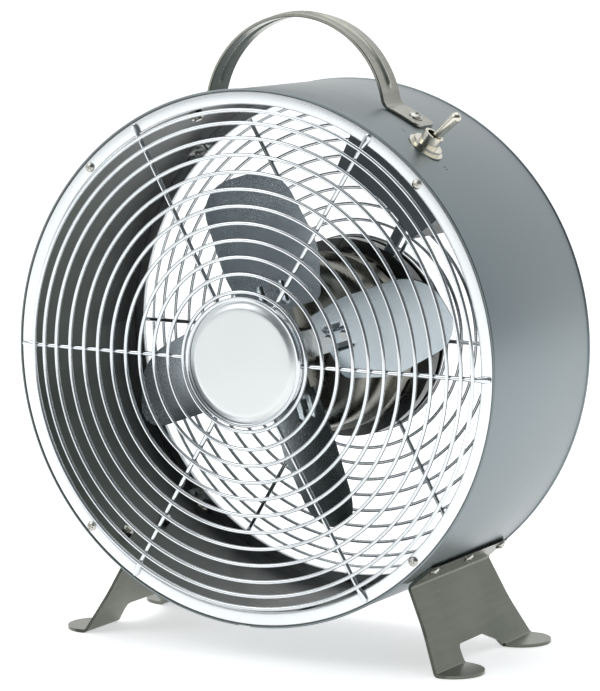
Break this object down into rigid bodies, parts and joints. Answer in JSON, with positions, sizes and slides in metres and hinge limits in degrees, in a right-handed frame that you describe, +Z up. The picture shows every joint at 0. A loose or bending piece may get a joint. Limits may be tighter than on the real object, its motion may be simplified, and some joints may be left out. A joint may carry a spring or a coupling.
{
  "type": "desk fan",
  "caption": "Desk fan: steel drum housing with wire grilles, bladed rotor on a small motor, strap handle, toggle switch and two bent-sheet legs.",
  "frame": {"origin": "on the table, under the middle of the object's overall box (under the middle of the drum)", "axes": "+Z up; +Y from the front grille to the rear grille, along the fan's axis; +X to the fan's right, on the toggle switch's side"},
  "size_m": [0.2612, 0.1226, 0.3118],
  "materials": {
    "drum_steel": "brushed blue-grey steel, satin, with soft reflections",
    "ring_chrome": "satin chrome plate, near white",
    "wire_chrome": "bright chrome plated wire",
    "plated_steel": "zinc plated",
    "screw_steel": "bright nickel plated",
    "badge_chrome": "polished chrome",
    "badge_face": "fine matt silver, blank",
    "black_enamel": "black enamel, semi gloss",
    "gunmetal": "gunmetal, glossy drawn steel",
    "lamination_steel": "stacked laminations, oiled",
    "copper_winding": "varnished copper wire",
    "sintered_bronze": "sintered bronze",
    "shaft_steel": "ground steel",
    "cage_aluminium": "die-cast aluminium",
    "nylon_white": "natural nylon",
    "gland_rubber": "black rubber",
    "sleeve_grey": "braided light blue-grey sleeving",
    "hub_chrome": "polished plate",
    "blade_steel": "polished sheet steel",
    "switch_plastic": "moulded black",
    "switch_nickel": "warm bright nickel plate",
    "contact_brass": "brass",
    "box_plastic": "dark slate moulded plastic",
    "handle_nickel": "satin nickel plate",
    "leg_nickel": "satin nickel plate, olive grey"
  },
  "bodies": {
    "housing": {"drum_shell": "drum_steel", "seam_strip": "drum_steel", "front_ring": "ring_chrome", "rear_ring": "ring_chrome", "front_grille_rings": "wire_chrome", "front_grille_spokes": "wire_chrome", "rear_grille_rings": "wire_chrome", "rear_grille_spokes": "wire_chrome", "front_ring_tabs": "plated_steel", "rear_ring_tabs": "plated_steel", "badge_backplate": "plated_steel", "bearing_retainers": "plated_steel", "front_ring_screws": "screw_steel", "rear_ring_screws": "screw_steel", "badge_screws": "screw_steel", "motor_screws": "screw_steel", "motor_nuts": "screw_steel", "leg_screws": "screw_steel", "leg_nuts": "screw_steel", "handle_screws": "screw_steel", "handle_nuts": "screw_steel", "badge_bezel": "badge_chrome", "badge_disc": "badge_face", "motor_mount_plate": "black_enamel", "motor_rear_cover": "black_enamel", "motor_can": "gunmetal", "stator_core": "lamination_steel", "stator_coils": "copper_winding", "front_bearing": "sintered_bronze", "rear_bearing": "sintered_bronze", "terminal_block": "nylon_white", "cord_gland": "gland_rubber", "lead_sleeve": "sleeve_grey", "switch_body": "switch_plastic", "switch_bushing": "switch_nickel", "switch_washer": "switch_nickel", "switch_nut": "switch_nickel", "switch_terminals": "contact_brass", "switch_box": "box_plastic", "handle_strap": "handle_nickel", "leg_left": "leg_nickel", "leg_right": "leg_nickel"},
    "rotor": {"rotor_core": "lamination_steel", "rotor_end_rings": "cage_aluminium", "motor_shaft": "shaft_steel", "shaft_spacers": "nylon_white", "fan_hub": "hub_chrome", "hub_set_screw": "shaft_steel", "blade_1": "blade_steel", "blade_2": "blade_steel", "blade_3": "blade_steel", "blade_4": "blade_steel", "blade_rivets": "hub_chrome"},
    "toggle": {"switch_lever": "switch_nickel"},
    "rocker": {"switch_rocker": "contact_brass"}
  },
  "joints": [
    {"name": "fan_spin", "type": "hinge", "parent": "housing", "child": "rotor", "pos_m": [0, -0.014, 0.146], "axis": [0, 1, 0], "continuous": true},
    {"name": "toggle_throw", "type": "hinge", "parent": "housing", "child": "toggle", "pos_m": [0.07944, -0.0247, 0.25104], "axis": [0, -1, 0], "range_deg": [0, 21.4]},
    {"name": "rocker_tilt", "type": "hinge", "parent": "housing", "child": "rocker", "pos_m": [0.0719, -0.0247, 0.24107], "axis": [0, -1, 0], "range_deg": [-15, 0]}
  ],
  "couplings": [
    {"joint": "rocker_tilt", "follows": "toggle_throw", "ratio": -0.7}
  ]
}
